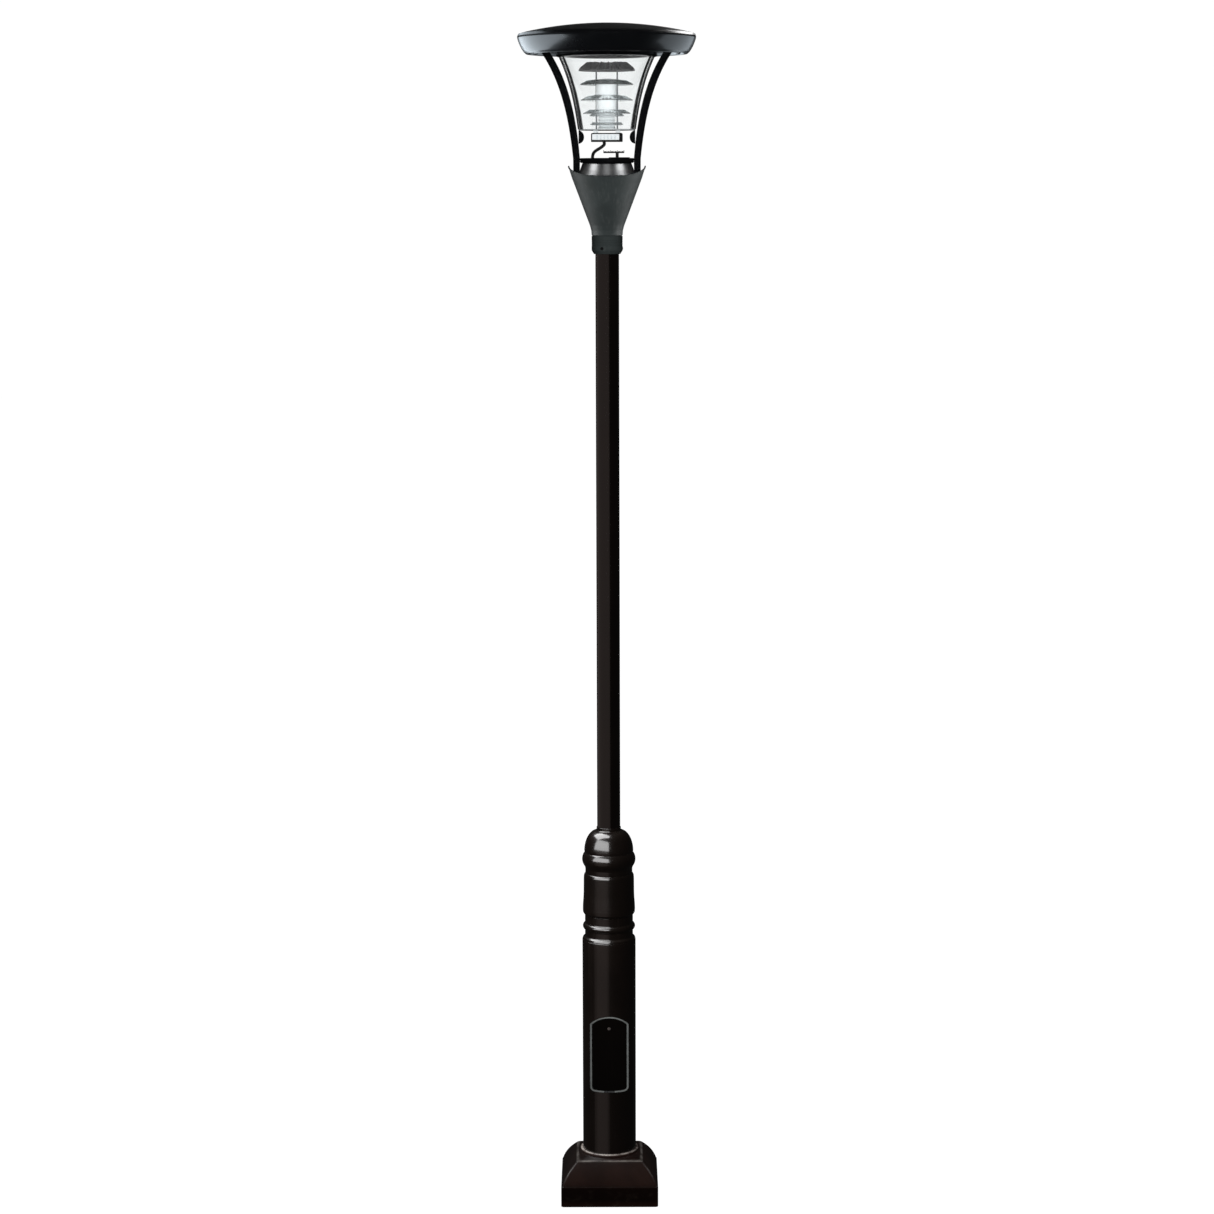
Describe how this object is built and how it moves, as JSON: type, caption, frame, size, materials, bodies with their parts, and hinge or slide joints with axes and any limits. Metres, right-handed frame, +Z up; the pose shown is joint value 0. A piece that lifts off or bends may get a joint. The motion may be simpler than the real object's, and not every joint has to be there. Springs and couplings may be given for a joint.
{
  "type": "post-top garden lantern",
  "caption": "Black garden lamp post: square cast base, tube column with access door, turned reducer, slim pole, trumpet lantern with round hinged cap.",
  "frame": {"origin": "centre of the square base's underside, on the ground", "axes": "+Z up along the pole; the access door faces -Y; the lantern arms are at +X and -X"},
  "size_m": [0.451, 0.451, 3.0549],
  "materials": {
    "gloss_black": "gloss black paint with a brown cast",
    "cast_black": "satin black paint on casting",
    "grey_paint": "fine textured charcoal powder coat",
    "cap_black": "satin black powder coat",
    "galvanised": "hot-dip galvanised",
    "bright_steel": "bright stainless steel",
    "bright_ring": "polished spun aluminium",
    "pale_rubber": "pale grey gasket",
    "black_rubber": "matte black rubber",
    "black_plastic": "moulded black plastic",
    "clear_case": "frosted clear moulding",
    "grey_plastic": "moulded grey plastic",
    "lamp_diffuser": "frosted opal diffuser",
    "reflector_white": "gloss white",
    "clear_louvre": "clear prismatic acrylic",
    "clear_cover": "clear acrylic"
  },
  "bodies": {
    "column": {"base_flange": "galvanised", "gusset_right": "galvanised", "gusset_rear": "galvanised", "gusset_left": "galvanised", "gusset_front": "galvanised", "base_cover": "cast_black", "base_collar": "cast_black", "lower_column": "gloss_black", "door_seal": "pale_rubber", "hinge_bracket": "galvanised", "hinge_pin": "bright_steel", "mounting_bar": "galvanised", "fuse_box": "grey_plastic", "riser_cable": "black_rubber", "turned_lower_ring": "gloss_black", "turned_barrel": "gloss_black", "turned_dome": "gloss_black", "centring_plate_lower": "galvanised", "centring_plate_upper": "galvanised", "upper_tube": "gloss_black"},
    "door": {"door": "gloss_black", "door_hinge": "galvanised"},
    "lock": {"lock_barrel": "bright_steel"},
    "bolt": {"lock_bolt": "galvanised"},
    "fuse_carrier": {"fuse_carrier": "black_plastic"},
    "lantern": {"neck_collar": "grey_paint", "set_screw_1": "bright_steel", "set_screw_2": "bright_steel", "set_screw_3": "bright_steel", "cup": "grey_paint", "cup_plate": "galvanised", "inner_ring": "bright_ring", "lower_ring": "cast_black", "arm_right": "cap_black", "arm_left": "cap_black", "arm_lug_right": "cap_black", "arm_lug_left": "cap_black", "carrier_plate": "grey_paint", "driver_box": "clear_case", "driver_cable": "black_rubber", "terminal_block": "black_plastic", "lamp_holder": "clear_case", "lamp": "lamp_diffuser", "louvre_1": "clear_louvre", "louvre_2": "clear_louvre", "louvre_3": "clear_louvre", "louvre_4": "clear_louvre", "louvre_5": "clear_louvre", "louvre_6": "black_plastic", "louvre_rod_right": "grey_plastic", "louvre_rod_left": "grey_plastic", "cover_front": "clear_cover", "cover_rear": "clear_cover", "cover_strip_right": "black_rubber", "cover_strip_left": "black_rubber", "cover_top_ring": "cast_black", "cap_rim": "cap_black", "reflector": "reflector_white", "top_hinge_pin": "bright_steel"},
    "top_cover": {"top_cover": "cap_black"}
  },
  "joints": [
    {"name": "door_tilt", "type": "hinge", "parent": "column", "child": "door", "pos_m": [0, -0.0712, 0.295], "axis": [1, 0, 0], "range_deg": [0, 90]},
    {"name": "lock_turn", "type": "hinge", "parent": "door", "child": "lock", "pos_m": [0, -0.066, 0.465], "axis": [0, 1, 0], "range_deg": [0, 90]},
    {"name": "bolt_throw", "type": "slide", "parent": "door", "child": "bolt", "axis": [0, 0, 1], "range_m": [0, 0.016]},
    {"name": "fuse_pull", "type": "slide", "parent": "column", "child": "fuse_carrier", "axis": [0, -1, 0], "range_m": [0, 0.03]},
    {"name": "lantern_turn", "type": "hinge", "parent": "column", "child": "lantern", "pos_m": [0, 0, 2.5], "axis": [0, 0, 1], "range_deg": [-170, 170]},
    {"name": "top_cover_tilt", "type": "hinge", "parent": "lantern", "child": "top_cover", "pos_m": [0, 0.2213, 3.0319], "axis": [-1, 0, 0], "range_deg": [0, 70]}
  ],
  "couplings": [
    {"joint": "lock_turn", "follows": "bolt_throw", "rad_per_m": 98.174}
  ]
}
